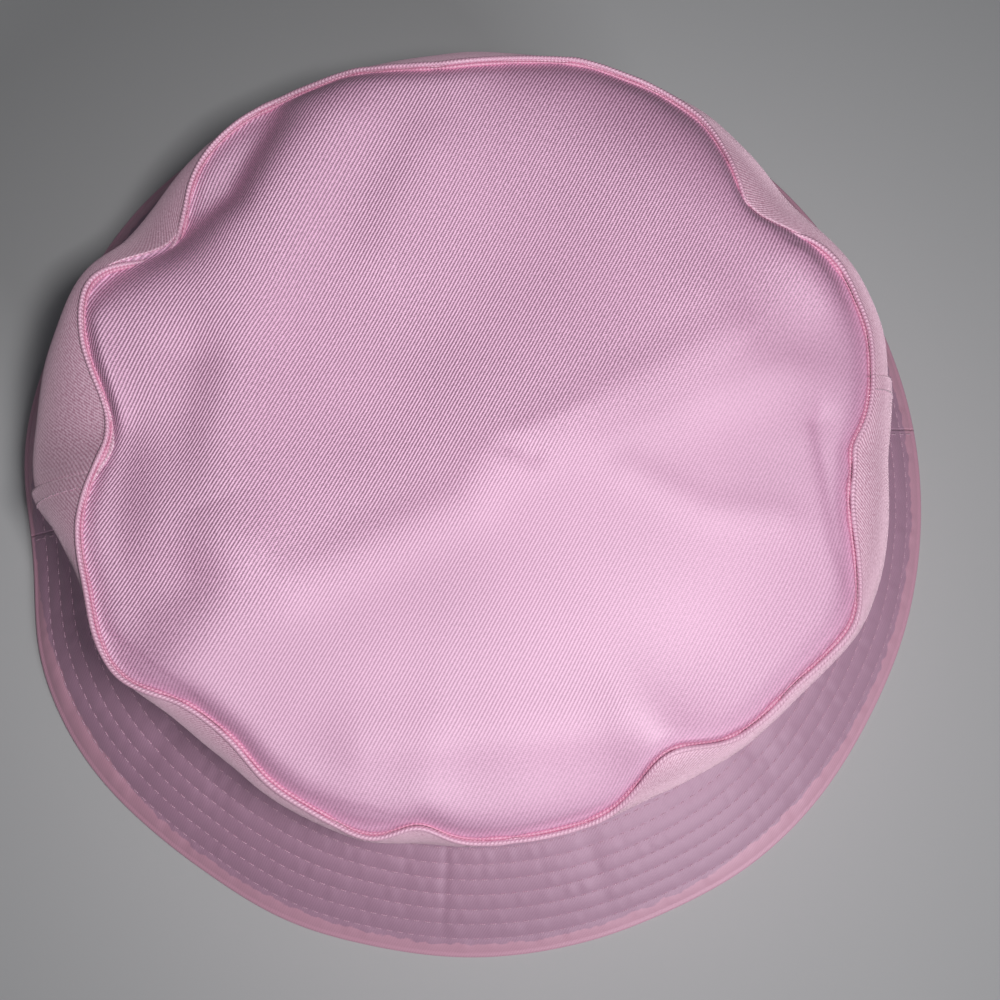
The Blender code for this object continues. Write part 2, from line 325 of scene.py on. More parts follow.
# Soft folds of the crown tip: a line of (x, y) points, how wide it is to the left and to the right of that
# line, and its height, in millimetres. The width changes over within a share of the narrower one and a bit.
FOLD_CHANGE_OVER = 0.3
FOLD_CHANGE_LEAST = 0.1
TIP_FOLDS = {
    "long fold": (((-45, -30), (-4, -16), (2, -8), (25, 1), (63, 14)), 4.5, 5.5, 0.7),
    "centre pinch": (((7, -3), (27, 2)), 1.5, 1.5, 0.1),
    "centre dimple": (((8, -5), (13, -8)), 2.0, 2.0, -0.4),
    "back fold": (((-3, 67), (-12, 54), (-16, 45)), 5.5, 4.5, 0.7),
    "back middle fold": (((36, 72), (16, 45), (-22, 7)), 11.5, 11.5, -1.2),
    "left upright fold": (((-24, 77), (-55, 23), (-70, -13), (-57, -22)), 7.0, 8.0, 1.7),
    "left valley": (((-63, 23), (-66, 9), (-70, -27)), 6.0, 6.0, -2.1),
    "left rim": (((-85, 35), (-82, 13)), 2.5, 3.5, 2.8),
    "lower left fold": (((-69, -52), (-76, -22), (-55, -11)), 9.0, 9.0, 1.0),
    "right patch": (((35, -15), (50, -26), (67, -30)), 3.0, 3.5, 0.3),
    "right patch top": (((30, -8), (57, 0), (74, 4)), 3.5, 4.5, 0.3),
    "right small fold": (((58, 22), (60, 6), (87, -4)), 7.0, 10.5, 1.3),
    "right crest": (((81, 30), (87, 22)), 1.5, 4.5, 1.8),
    "right crease": (((77, -14), (77, -32), (84, -44)), 4.0, 6.0, 0.4),
    "upper right hollow": (((42, 82), (62, 52), (81, 28)), 6.5, 15.5, 3.3),
    "lower left hollow": (((-85, -36), (-68, -51), (-50, -75)), 3.5, 1.0, 0.7),
    "front hollow": (((-46, -76), (-10, -89)), 4.5, 1.0, 0.6),
    "lower right hollow": (((8, -89), (37, -72), (52, -79)), 11.0, 5.0, 0.5),
    "upper left hollow": (((-42, 82), (-53, 66), (-83, 48)), 4.5, 7.0, -9.0),
    "upper left crest": (((-19, 89), (-55, 49)), 8.5, 9.0, 2.4),
    "back slope": (((-10, 97), (14, 77), (54, 71)), 7.5, 19.5, 3.2),
    "front slope": (((-42, -84), (-5, -93), (32, -88)), 1.0, 6.0, -1.4),
    "bottom swell": (((-32, -69), (22, -72)), 6.0, 4.5, 0.8),
    "right swell": (((30, -61), (59, -37)), 20.0, 20.0, 2.4),
    "middle left swell": (((-25, 18), (-27, -12)), 25.0, 25.0, -4.0),
    "left lower valley": (((-86, 1), (-86, -38)), 8.5, 7.0, -4.3),
    "right crease valley": (((79, -10), (79, -24), (79, -38), (81, -48)), 3.0, 1.5, -0.7),
}

# Lights, in the picture's axes: name, place, size, power and colour
LIGHTS = (
    ("key", (0.036, -0.049, 0.330), 0.03, 0.49, (1.0, 0.99, 1.0)),
    ("front right", (0.66, -0.96, 0.70), 0.40, 5.2, (0.96, 0.97, 1.0)),
)
LIGHT_AIM = (0, 0, 0.05)
AMBIENT = 0.06
AMBIENT_COLOUR = (0.86, 0.92, 1.0, 1.0)
FLOOR_COLOUR = (0.60, 0.60, 0.60, 1.0)
FLOOR_ROUGHNESS = 0.6
FLOOR_HALF = 6.0
FLOOR_GAP = 0.0001

# Small unevenness round the hat: its size in metres, how many values make a full turn, and its own seed
SEAM_RADIUS_WAVE = (0.0003, 60, 1)
SEAM_HEIGHT_WAVE = (0.0003, 48, 2)
WALL_WAVE = (0.0012, 18, 3)
WALL_FINE_WAVE = (0.0006, 42, 4)
HEM_WAVE = (0.0005, 30, 5)
BRIM_WAVE = (0.0009, 14, 7)
BRIM_FINE_WAVE = (0.00016, 90, 6)
BRIM_WAVE_LEAN = 0.3
# The same for the pucker along each row of stitching, with its size as a share of the puff
PUCKER_WAVE = (0.35, 330, 20)
PUCKER_BROAD_WAVE = (0.25, 120, 40)
# The thickness of the seam's edges, then the seeds of the stitches' random draws
EDGE_CELLS, EDGE_SEED = 150, 9
QUILT_SEED, SIDE_SEED, BRIM_SEAM_SEED, INNER_SEED = 60, 80, 82, 84
SEED = 11

# Steps for measuring the slope of a surface, and limits that keep divisions and powers within reach
SLOPE_STEP = 1e-3
SHORTEST = 1e-12
STEEPEST = 50


# ---------------- numbers that vary round the hat


def turned(angle, centre_degrees):
    """The signed angle from a centre given in degrees."""
    return (angle - math.radians(centre_degrees) + math.pi) % FULL_TURN - math.pi


def shapes_at(angle, shapes, column):
    """The sum of a table's smooth bumps at each angle, in metres."""
    total = np.zeros_like(angle)
    for centre, width, *moves in shapes.values():
        total += moves[column] * np.exp(-0.5 * (turned(angle, centre) / math.radians(width)) ** 2)
    return total * MILLIMETRE


def ripple(angle, cells, seed):
    """Smooth noise from -1 to 1 that repeats after a full turn."""
    values = np.random.default_rng(SEED + seed).uniform(-1, 1, cells)
    place = (angle / FULL_TURN * cells) % cells
    before = place.astype(int)
    blend = 0.5 - 0.5 * np.cos(math.pi * (place - before))
    return values[before % cells] * (1 - blend) + values[(before + 1) % cells] * blend


def uneven(angle, wave, row=0):
    """One of the small waves listed above. Rows of stitching each have their own."""
    size, cells, seed = wave
    return size * ripple(angle, cells, seed + row)


def smooth_rise(value, low, high):
    share = np.clip((value - low) / (high - low), 0, 1)
    return share * share * (3 - 2 * share)


# ---------------- the hat's three surfaces


def seam_line(angle):
    """Radius and height of the seam between the tip and the wall."""
    radius = TIP_RADIUS + SEAM_SPREAD + shapes_at(angle, SEAM_SHAPES, 0)
    height = TIP_HEIGHT + shapes_at(angle, SEAM_SHAPES, 1) + shapes_at(angle, RIM_TURNS, 0)
    return radius + uneven(angle, SEAM_RADIUS_WAVE), height + uneven(angle, SEAM_HEIGHT_WAVE)


def polar(radius, angle, height):
    return np.stack([radius * np.cos(angle), radius * np.sin(angle), height], axis=-1)


def fold_height(x, y):
    """The height that the named folds add to the crown tip."""
    total = np.zeros_like(x)
    for points, left, right, height in TIP_FOLDS.values():
        nearest = np.full_like(x, np.inf)
        aside = np.zeros_like(x)
        for start, end in zip(points, points[1:]):
            (ax, ay), (bx, by) = np.array([start, end]) * MILLIMETRE
            length = (bx - ax) ** 2 + (by - ay) ** 2
            along = np.clip(((x - ax) * (bx - ax) + (y - ay) * (by - ay)) / length, 0, 1)
            dx, dy = x - ax - along * (bx - ax), y - ay - along * (by - ay)
            gap = np.hypot(dx, dy)
            closer = gap < nearest
            nearest = np.where(closer, gap, nearest)
            aside = np.where(closer, ((bx - ax) * dy - (by - ay) * dx) / math.sqrt(length), aside)
        change_over = (FOLD_CHANGE_OVER * min(left, right) + FOLD_CHANGE_LEAST) * MILLIMETRE
        leftness = 1 / (1 + np.exp(np.clip(-aside / change_over, -STEEPEST, STEEPEST)))
        width = (right + (left - right) * leftness) * MILLIMETRE
        total += height * MILLIMETRE * np.exp(-0.5 * (nearest / width) ** 2)
    return total


def tip_surface(share, angle):
    """The crown tip, from its centre at 0 to its seam at 1."""
    seam_radius, seam_height = seam_line(angle)
    radius = share * (TIP_RADIUS + (seam_radius - TIP_RADIUS) * share**PLAN_FADE)
    x, y = radius * np.cos(angle), radius * np.sin(angle)
    rim = shapes_at(angle, RIM_TURNS, 0)
    height = TIP_HEIGHT + TIP_DOME * (1 - share**2)
    height += (seam_height - rim - TIP_HEIGHT) * share**SEAM_FADE + rim * share**RIM_FADE
    height += fold_height(x, y) * (1 - share**FOLD_FADE)
    edge = (1 - share) * TIP_RADIUS
    height -= SEAM_ROLL_DEPTH * np.exp(-((edge / SEAM_ROLL_WIDTH) ** 2))
    return np.stack([x, y, height], axis=-1)


def widest_radius(angle):
    """How far out the wall's bulge reaches."""
    return WALL_RADIUS + shapes_at(angle, WALL_SHAPES, 0)


def wall_buckle(share, angle):
    """How far the named buckles draw the wall in."""
    total = np.zeros_like(angle)
    for centre, middle, half_angle, half_share, depth, lean in WALL_BUCKLES.values():
        aside = turned(angle - math.radians(lean) * (share - middle), centre) / math.radians(half_angle)
        total += depth * np.exp(-0.5 * (aside**2 + ((share - middle) / half_share) ** 2))
    return total * MILLIMETRE


def wall_surface(share, angle):
    """The side of the crown, from the brim joint at 0 to the tip seam at 1."""
    seam_radius, seam_height = seam_line(angle)
    seam_height = seam_height - SEAM_ROLL_DEPTH * WALL_TOP_SHARE
    rise = seam_height - JOINT_HEIGHT
    ends = CURVE_END_WEIGHT * (HEAD_RADIUS + seam_radius)
    middle = (widest_radius(angle) - ends) / (1 - 2 * CURVE_END_WEIGHT)
    controls = (
        (HEAD_RADIUS, JOINT_HEIGHT),
        (middle, JOINT_HEIGHT + WALL_LOWER_SHARE * rise),
        (middle, JOINT_HEIGHT + WALL_UPPER_SHARE * rise),
        (seam_radius, seam_height),
    )
    weights = ((1 - share) ** 3, 3 * share * (1 - share) ** 2, 3 * share**2 * (1 - share), share**3)
    radius = sum(weight * point[0] for weight, point in zip(weights, controls))
    height = sum(weight * point[1] for weight, point in zip(weights, controls))
    in_front = np.where(angle < 0, 1.0, 0.0)
    near_seam = np.exp(-((turned(2 * angle, 0) / SIDE_SEAM_WIDTH) ** 2))
    radius = radius + SIDE_SEAM_STEP * in_front * near_seam * np.sin(math.pi * share)
    slump = np.sin(math.pi * share) ** 2
    waves = uneven(angle, WALL_WAVE) + uneven(angle + share, WALL_FINE_WAVE)
    radius = radius - wall_buckle(share, angle) + slump * waves
    return polar(radius, angle, height)


def hem_radius(angle):
    return BRIM_RADIUS + shapes_at(angle, HEM_SHAPES, 0) + uneven(angle, HEM_WAVE)


def quilt_relief(share, angle):
    """The puff of the brim's cloth between the rows of stitching."""
    bounds = [FIRST_PUFF_START, *sorted(ROW_SHARES), 1.0]
    relief = np.zeros_like(share)
    for index, (low, high) in enumerate(zip(bounds, bounds[1:])):
        inside = (share >= low) & (share < high)
        place = np.clip((share - low) / (high - low), 0, 1)
        puff = HEM_PUFF if index == len(bounds) - 2 else QUILT_PUFF
        pucker = 1 + uneven(angle, PUCKER_WAVE, index) + uneven(angle, PUCKER_BROAD_WAVE, index)
        relief += np.where(inside, puff * pucker * np.sin(math.pi * place) ** PUFF_ROUNDNESS, 0)
    return relief


def brim_surface(share, angle, puff=1.0):
    """The brim, from the crown joint at 0 to the start of the hem's roll at 1."""
    outer = hem_radius(angle) - HEM_ROLL
    radius = BRIM_INNER + (outer - BRIM_INNER) * share
    height = JOINT_HEIGHT - (JOINT_HEIGHT - 2 * HEM_ROLL) * share
    bend = np.sin(math.pi * np.clip(share, 0, 1))
    height += (BRIM_CROWN + uneven(angle, BRIM_WAVE)) * bend
    fine_waves = uneven(angle + BRIM_WAVE_LEAN * share, BRIM_FINE_WAVE)
    height += (fine_waves - shapes_at(angle, BRIM_CREASES, 0)) * bend
    return polar(radius, angle, height + puff * quilt_relief(share, angle))


def brim_underside(share, angle):
    return brim_surface(share, angle, puff=-1.0)


def brim_smooth(share, angle):
    return brim_surface(share, angle, puff=0.0)


def brim_with_hem(share, angle):
    """The brim's top cloth: past 1 it rolls round the hem, and past 2 it runs back under it as a lip."""
    outer = hem_radius(angle) - HEM_ROLL
    turn = math.pi * np.clip(share - 1, 0, 1)
    rolled = polar(outer + HEM_ROLL * np.sin(turn), angle, HEM_ROLL * (1 + np.cos(turn)))
    lip = polar(outer - HEM_LIP * np.clip(share - 2, 0, 1), angle, np.zeros_like(share))
    flat = brim_surface(np.minimum(share, 1), angle)
    share = share[..., None]
    return np.where(share <= 1, flat, np.where(share <= 2, rolled, lip))


# ---------------- meshes


def grid_normals(points, closed):
    """Unit normals of a grid: upwards where its rows run outwards and its columns run anticlockwise."""
    if closed:
        padded = np.concatenate([points[:, -1:], points, points[:, :1]], axis=1)
        across = (padded[:, 2:] - padded[:, :-2]) / 2
    else:
        across = np.gradient(points, axis=1)
    normals = np.cross(np.gradient(points, axis=0), across)
    return normals / np.maximum(np.linalg.norm(normals, axis=-1, keepdims=True), SHORTEST)


def grid_faces(rows, columns, closed):
    """The corners of each square of a grid, joined across its last column where it is closed."""
    span = columns if closed else columns - 1
    row, column = np.meshgrid(np.arange(rows - 1), np.arange(span), indexing="ij")
    right = (column + 1) % columns
    start, below = row * columns, (row + 1) * columns
    return np.stack([start + column, below + column, below + right, start + right], axis=-1).reshape(-1, 4)


def make_object(name, points, faces, uvs, material):
    """A smooth mesh with its flat-cloth coordinates, in metres, in the UV layer called cloth."""
    mesh = bpy.data.meshes.new(name)
    mesh.vertices.add(len(points))
    mesh.vertices.foreach_set("co", np.ascontiguousarray(points, np.float32).ravel())
    mesh.loops.add(faces.size)
    mesh.loops.foreach_set("vertex_index", faces.astype(np.int32).ravel())
    mesh.polygons.add(len(faces))
    starts = np.arange(0, faces.size, faces.shape[1], dtype=np.int32)
    mesh.polygons.foreach_set("loop_start", starts)
    mesh.update(calc_edges=True)
    layer = mesh.uv_layers.new(name="cloth")
    layer.data.foreach_set("uv", uvs[faces.ravel()].astype(np.float32).ravel())
    mesh.validate()
    mesh.shade_smooth()
    mesh.materials.append(material)
    piece = bpy.data.objects.new(name, mesh)
    bpy.context.scene.collection.objects.link(piece)
    return piece


def thicken(piece, thickness):
    """Gives the cloth its thickness, inwards."""
    solid = piece.modifiers.new("thickness", "SOLIDIFY")
    solid.thickness = thickness
    solid.offset = -1
    solid.use_rim = True
    return piece


def finish_piece(piece, slot, *nodes):
    """Puts the piece on the hat's one body, in place of the frame's nodes."""
    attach(piece, "root")
    if nodes:
        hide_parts(*nodes)
    return piece


def rows(name):
    return np.linspace(*ROWS[name])


def cloth_piece(name, surface, shares, angles, layer, material, flat, inside_out=False):
    """A layer of cloth on a surface. Its rows run outwards, and layer is its depth and thickness."""
    depth, thickness = layer
    closed = angles[-1] - angles[0] > MOST_OPEN
    share, angle = np.meshgrid(shares, angles, indexing="ij")
    points = surface(share, angle)
    points = points - (depth + thickness * inside_out) * grid_normals(points, closed)
    uvs = flat(share, angle, points)
    if inside_out:
        points, uvs = points[::-1], uvs[::-1]
    faces = grid_faces(len(shares), len(angles), closed)
    piece = make_object(name, points.reshape(-1, 3), faces, uvs.reshape(-1, 2), material)
    return thicken(piece, thickness)


def flat_wall(share, angle, points):
    return np.stack([angle * HEAD_RADIUS, share * WALL_CLOTH_HEIGHT], axis=-1)


def flat_ring(share, angle, points):
    return points[..., :2]


def half_angles(side, steps):
    """The angles of a half panel: front from the left seam to the right one, back from right to left."""
    start = -math.pi if side == "front" else 0.0
    return np.linspace(start + SEAM_TRIM, start + math.pi - SEAM_TRIM, steps // 2 + 1)


def around(centre, half_width, steps):
    """A short run of angles across a side seam."""
    return np.linspace(centre - half_width, centre + half_width, steps)


def ring_angles(steps):
    return np.arange(steps) * FULL_TURN / steps


# ---------------- materials


def srgb(red, green, blue):
    """A colour given as 0 to 255 screen values, as linear light."""
    scaled = [value / 255 for value in (red, green, blue)]
    return tuple(v / 12.92 if v <= 0.04045 else ((v + 0.055) / 1.055) ** 2.4 for v in scaled) + (1.0,)


class Recipe:
    """One material's node graph, built up from short calls."""

    def __init__(self, name, roughness=0.85, sheen=0.25):
        self.material = bpy.data.materials.new(name)
        self.material.use_nodes = True
        self.nodes = self.material.node_tree.nodes
        self.links = self.material.node_tree.links
        self.shader = self.nodes["Principled BSDF"]
        self.shader.inputs["Roughness"].default_value = roughness
        self.shader.inputs["Sheen Weight"].default_value = sheen
        self.shader.inputs["Sheen Roughness"].default_value = 0.45
        self.shader.inputs["Specular IOR Level"].default_value = 0.4

    def put(self, socket, value):
        if hasattr(value, "is_output"):
            self.links.new(value, socket)
        else:
            socket.default_value = value

    def math(self, operation, *values):
        node = self.nodes.new("ShaderNodeMath")
        node.operation = operation
        for socket, value in zip(node.inputs, values):
            self.put(socket, value)
        return node.outputs[0]

    def noise(self, place, scale, detail=2.0):
        node = self.nodes.new("ShaderNodeTexNoise")
        self.put(node.inputs["Vector"], place)
        node.inputs["Scale"].default_value = scale
        node.inputs["Detail"].default_value = detail
        return node.outputs["Fac"]

    def mix(self, share, first, second):
        node = self.nodes.new("ShaderNodeMix")
        node.data_type = "RGBA"
        self.put(node.inputs["Factor"], share)
        self.put(node.inputs["A"], first)
        self.put(node.inputs["B"], second)
        return node.outputs["Result"]

    def length(self, vector):
        node = self.nodes.new("ShaderNodeVectorMath")
        node.operation = "LENGTH"
        self.links.new(vector, node.inputs[0])
        return node.outputs["Value"]

    def rise(self, value, low, high):
        """0 below low, 1 above high."""
        node = self.nodes.new("ShaderNodeMapRange")
        self.links.new(value, node.inputs["Value"])
        node.inputs["From Min"].default_value = low
        node.inputs["From Max"].default_value = high
        return node.outputs["Result"]

    def cloth_place(self):
        """The flat-cloth coordinates as a vector and as two numbers."""
        node = self.nodes.new("ShaderNodeUVMap")
        node.uv_map = "cloth"
        split = self.nodes.new("ShaderNodeSeparateXYZ")
        self.links.new(node.outputs["UV"], split.inputs[0])
        return node.outputs["UV"], split.outputs["X"], split.outputs["Y"]

    def wave(self, operation, phase):
        """A sine or cosine of the phase, from 0 to 1."""
        return self.math("MULTIPLY_ADD", self.math(operation, phase), 0.5, 0.5)

    def about_middle(self, value, gain, middle):
        """A value from 0 to 1 with its distance from 0.5 multiplied, put round another middle."""
        return self.math("MULTIPLY_ADD", self.math("SUBTRACT", value, 0.5), gain, middle)

    def across(self, u, v, slant):
        """How far a place on the cloth lies across a slanted line."""
        rise = self.math("MULTIPLY", v, math.cos(slant))
        return self.math("SUBTRACT", rise, self.math("MULTIPLY", u, math.sin(slant)))

    def bump(self, height, distance):
        node = self.nodes.new("ShaderNodeBump")
        node.inputs["Distance"].default_value = distance
        self.links.new(height, node.inputs["Height"])
        self.links.new(node.outputs["Normal"], self.shader.inputs["Normal"])

    def colour(self, value):
        self.links.new(value, self.shader.inputs["Base Color"])
        return self.material


def twill(part, contrast, relief=TWILL_RELIEF, glint_weight=1.0, sheen=0.0, hem=None, pressed=False):
    """Woven satin twill: slanted ridges of warp floats, finer yarns across them, and slow changes of colour.

    hem is the colour that the brim's cloth takes outside its last row of stitching, where it is rolled; it is
    lighter than the brim, a painted highlight on the rolled edge. With pressed set, the ridges' relief and
    colour contrast are low in front of the long fold and high behind it; the contrast is painted light and
    shade.
    """
    crest, groove, tint = (srgb(*colour) for colour in TWILL_COLOURS[part])
    cloth = Recipe(f"{part}_twill", roughness=SATIN_ROUGHNESS, sheen=sheen)
    cloth.shader.inputs["Sheen Tint"].default_value = SHEEN_TINT
    cloth.shader.inputs["IOR"].default_value = SATIN_IOR
    cloth.shader.inputs["Specular IOR Level"].default_value = SATIN_LEVEL
    cloth.shader.inputs["Specular Tint"].default_value = SATIN_TINT
    place, u, v = cloth.cloth_place()
    along = cloth.across(u, v, TWILL_ANGLE - math.pi / 2)
    across = cloth.across(u, v, TWILL_ANGLE)
    wander = cloth.about_middle(cloth.noise(place, WANDER_SCALE), TWILL_WANDER, across)
    phase = cloth.math("MULTIPLY", wander, FULL_TURN / TWILL_PITCH)
    ridge = cloth.wave("COSINE", phase)
    yarn_phase = cloth.math("MULTIPLY", along, FULL_TURN / YARN_PITCH)
    yarn = cloth.wave("SINE", cloth.math("MULTIPLY_ADD", phase, 0.5, yarn_phase))
    fibre = cloth.noise(place, FIBRE_SCALE, 3.0)
    weave = cloth.math("MULTIPLY_ADD", yarn, YARN_SHARE, cloth.math("MULTIPLY", ridge, 1 - YARN_SHARE))
    shade = cloth.about_middle(fibre, FIBRE_SHADE, weave)
    # Painted glints: random light and dark specks in the colour stand in for the satin floats catching the
    # light, more of them on the wall
    shade = cloth.about_middle(cloth.noise(place, GLINT_SCALE, 1.0), glint_weight, shade)
    height = cloth.math("MULTIPLY_ADD", fibre, FIBRE_HEIGHT, weave)
    # Painted light and shade: the weave's colour contrast is low in front of the long fold, for the broad
    # highlight there, and high behind it, where the light grazes; the relief changes with it
    if pressed:
        raised = cloth.rise(cloth.across(u, v, FOLD_SLANT), *WEAVE_SHADE_SPAN)
        weave_gain = cloth.math("MULTIPLY_ADD", raised, BACK_WEAVE_GAIN - FRONT_WEAVE_GAIN, FRONT_WEAVE_GAIN)
        contrast = cloth.math("MULTIPLY", weave_gain, contrast)
        height = cloth.math("MULTIPLY", height, weave_gain)
    limited = cloth.nodes.new("ShaderNodeClamp")
    cloth.put(limited.inputs["Value"], cloth.about_middle(shade, contrast, 0.5))
    cloth.bump(height, relief)
    blotch = cloth.math("MULTIPLY", cloth.noise(place, BLOTCH_SCALE, 3.0), BLOTCH_SHARE)
    # Painted shade: the groove colour is far darker than the ridges', standing in for the shade in the
    # weave's grooves
    colour = cloth.mix(blotch, cloth.mix(limited.outputs[0], groove, crest), tint)
    # Painted highlight: outside the last row the rolled hem takes the lighter hem colour
    if hem:
        ragged = cloth.noise(place, HEM_EDGE_SCALE)
        ragged = cloth.math("MULTIPLY_ADD", ragged, HEM_RAGGEDNESS, cloth.length(place))
        border = max(ROW_RADII) + 0.5 * HEM_RAGGEDNESS
        colour = cloth.mix(cloth.rise(ragged, border, border + CLOTH), colour, srgb(*hem))
    return cloth.colour(colour)


def thread_material(name, colour, shadow):
    """Sewing thread: two plies twisted round each other."""
    thread = Recipe(name, roughness=0.5, sheen=0.4)
    _, u, v = thread.cloth_place()
    ply = thread.wave("SINE", thread.math("MULTIPLY", thread.math("ADD", u, v), FULL_TURN / PLY_PITCH))
    thread.bump(ply, PLY_RELIEF)
    return thread.colour(thread.mix(ply, shadow, colour))


def felt_material(name, colour, shadow, scale):
    """Unwoven or plain cloth: fine fibres with no direction."""
    felt = Recipe(name, roughness=0.95, sheen=0.1)
    place, _, _ = felt.cloth_place()
    fibre = felt.noise(place, scale, 4.0)
    felt.bump(fibre, FELT_RELIEF)
    return felt.colour(felt.mix(fibre, shadow, colour))


def herringbone(name, crest, valley):
    """Tape whose twill turns back on itself in narrow columns."""
    tape = Recipe(name)
    place, u, v = tape.cloth_place()
    column = tape.math("PINGPONG", v, TAPE_COLUMN)
    ridge = tape.wave("SINE", tape.math("MULTIPLY", tape.math("ADD", u, column), FULL_TURN / TAPE_PITCH))
    fibre = tape.noise(place, TAPE_FIBRE_SCALE, 3.0)
    weave = tape.math("MULTIPLY", ridge, 1 - TAPE_FIBRE_SHARE)
    shade = tape.math("MULTIPLY_ADD", fibre, TAPE_FIBRE_SHARE, weave)
    tape.bump(shade, TAPE_RELIEF)
    return tape.colour(tape.mix(shade, valley, crest))


def make_materials():
    return {
        # pressed paints light and shade into the tip's weave contrast across the long fold
        "tip": twill("tip", contrast=1.0, pressed=True),
        # The wall and the brim are the tip's cloth in lighter and in darker colours: painted light and
        # painted shade
        "wall": twill("wall", contrast=1.0, glint_weight=2.4, sheen=1.0),
        "brim": twill("brim", contrast=0.6, relief=BRIM_RELIEF, hem=HEM_HIGHLIGHT_COLOUR),
        "seam": twill("seam", contrast=0.7),
        "seam_wall": twill("seam_wall", contrast=0.5),
        "lining": felt_material("lining_cotton", srgb(244, 214, 230), srgb(214, 176, 196), scale=1600.0),
        "sweatband": herringbone("sweatband_tape", srgb(244, 206, 224), srgb(196, 146, 174)),
        "interlining": felt_material("interlining", srgb(244, 242, 238), srgb(216, 212, 206), scale=500.0),
        "thread": thread_material("pink_thread", srgb(234, 198, 214), srgb(192, 144, 170)),
        "label": felt_material("label_satin", srgb(250, 248, 244), srgb(232, 228, 222), scale=3000.0),
    }


# ---------------- pieces


def disc_grid(count):
    """A square grid pressed into a disc: the share of the radius and the angle of each point."""
    u, v = np.meshgrid(np.linspace(-1, 1, count), np.linspace(-1, 1, count), indexing="ij")
    x, y = u * np.sqrt(1 - v**2 / 2), v * np.sqrt(1 - u**2 / 2)
    return np.minimum(np.hypot(x, y), 1.0), np.arctan2(y, x), np.stack([x, y], axis=-1)


def tip_piece(name, material, depth, thickness, reach, count):
    """A disc of cloth laid on the crown tip, sunk under it by a depth and trimmed to a share of its radius.

    Near the dents the cloth partly bunches and partly slides, so its weave lies between disc and plan.
    """
    share, angle, disc = disc_grid(count)
    points = tip_surface(share * reach, angle) - np.array([0, 0, depth])
    flat = BUNCHING * points[..., :2] + (1 - BUNCHING) * disc * TIP_RADIUS * reach
    faces = grid_faces(count, count, closed=False)
    return thicken(make_object(name, points.reshape(-1, 3), faces, flat.reshape(-1, 2), material), thickness)


def build_tip(materials):
    tip = tip_piece("crown_tip_cloth", materials["tip"], 0.0, CLOTH, 1.0, TIP_GRID)
    finish_piece(tip, "pink_twill", "crown_tip")
    lining = tip_piece(
        "tip_lining_cloth", materials["lining"], LINING_DEPTH, LINING_CLOTH, TIP_LINING_REACH, TIP_LINING_GRID
    )
    finish_piece(lining, "lining_cotton", "lining_tip")


def build_walls(materials):
    for side in ("front", "back"):
        wall = cloth_piece(
            f"wall_cloth_{side}", wall_surface, rows("wall"), half_angles(side, ROUND_STEPS),
            (0, CLOTH), materials["wall"], flat_wall,
        )
        finish_piece(wall, "pink_twill", f"side_panel_{side}")
        lining = cloth_piece(
            f"wall_lining_{side}", wall_surface, rows("wall lining"), half_angles(side, HIDDEN_STEPS),
            (LINING_DEPTH, LINING_CLOTH), materials["lining"], flat_wall, inside_out=True,
        )
        finish_piece(lining, "lining_cotton", f"lining_side_{side}")


def build_brim(materials):
    top_shares = np.unique(np.concatenate([rows("brim"), rows("hem roll"), rows("hem lip")]))
    for side in ("front", "back"):
        top = cloth_piece(
            f"brim_cloth_{side}", brim_with_hem, top_shares, half_angles(side, BRIM_STEPS),
            (0, CLOTH), materials["brim"], flat_ring,
        )
        finish_piece(top, "brim_twill", f"brim_top_{side}")
        under = cloth_piece(
            f"brim_under_cloth_{side}", brim_underside, rows("brim under"), half_angles(side, ROUND_STEPS),
            (UNDER_DEPTH, CLOTH), materials["brim"], flat_ring, inside_out=True,
        )
        finish_piece(under, "brim_twill", f"brim_under_{side}")
        core = cloth_piece(
            f"brim_core_{side}", brim_smooth, rows("interlining"), half_angles(side, HIDDEN_STEPS),
            (INTERLINING_DEPTH, INTERLINING), materials["interlining"], flat_ring,
        )
        finish_piece(core, "interlining", f"brim_interlining_{side}")


def build_allowances(materials):
    """The turned and pressed edges inside the hat, which the outer cloth hides."""
    seam = materials["seam"]
    layer = (ALLOWANCE_DEPTH, CLOTH)
    turned_edges = (
        ("tip", wall_surface, "tip_seam_allowance"),
        ("head", wall_surface, "head_seam_allowance"),
        ("hem", brim_smooth, "brim_edge_allowance"),
    )
    for name, surface, node in turned_edges:
        piece = cloth_piece(
            f"{name}_allowance", surface, rows(f"{name} allowance"), ring_angles(HIDDEN_STEPS),
            layer, seam, flat_wall,
        )
        finish_piece(piece, "pink_twill", node)
    for name, centre in (("left", math.pi), ("right", 0.0)):
        wall_strip = cloth_piece(
            f"side_allowance_{name}", wall_surface, rows("side allowance"),
            around(centre, ALLOWANCE / HEAD_RADIUS, ACROSS_STEPS), layer, seam, flat_wall,
        )
        finish_piece(wall_strip, "pink_twill", f"side_seam_allowance_{name}")
        brim_strip = cloth_piece(
            f"brim_allowance_{name}", brim_smooth, rows("brim allowance"),
            around(centre, ALLOWANCE / BRIM_RADIUS, ACROSS_BRIM_STEPS),
            (ALLOWANCE_DEPTH - CLOTH / 2, CLOTH / 2), seam, flat_ring,
        )
        finish_piece(brim_strip, "brim_twill", f"brim_seam_allowance_{name}")


def build_inside(materials):
    """The sweatband round the head opening and the blank label at the back."""
    band = cloth_piece(
        "sweatband_tape", wall_surface, rows("sweatband"), ring_angles(HIDDEN_STEPS),
        (SWEATBAND_DEPTH, SWEATBAND_THICKNESS), materials["sweatband"], flat_wall, inside_out=True,
    )
    finish_piece(band, "sweatband_twill", "sweatband")
    label = cloth_piece(
        "blank_label", wall_surface, rows("label"), around(math.pi / 2, LABEL_HALF_TURN, ACROSS_STEPS),
        (LABEL_DEPTH, LABEL_CLOTH), materials["label"], flat_wall, inside_out=True,
    )
    finish_piece(label, "label_satin", "care_label")


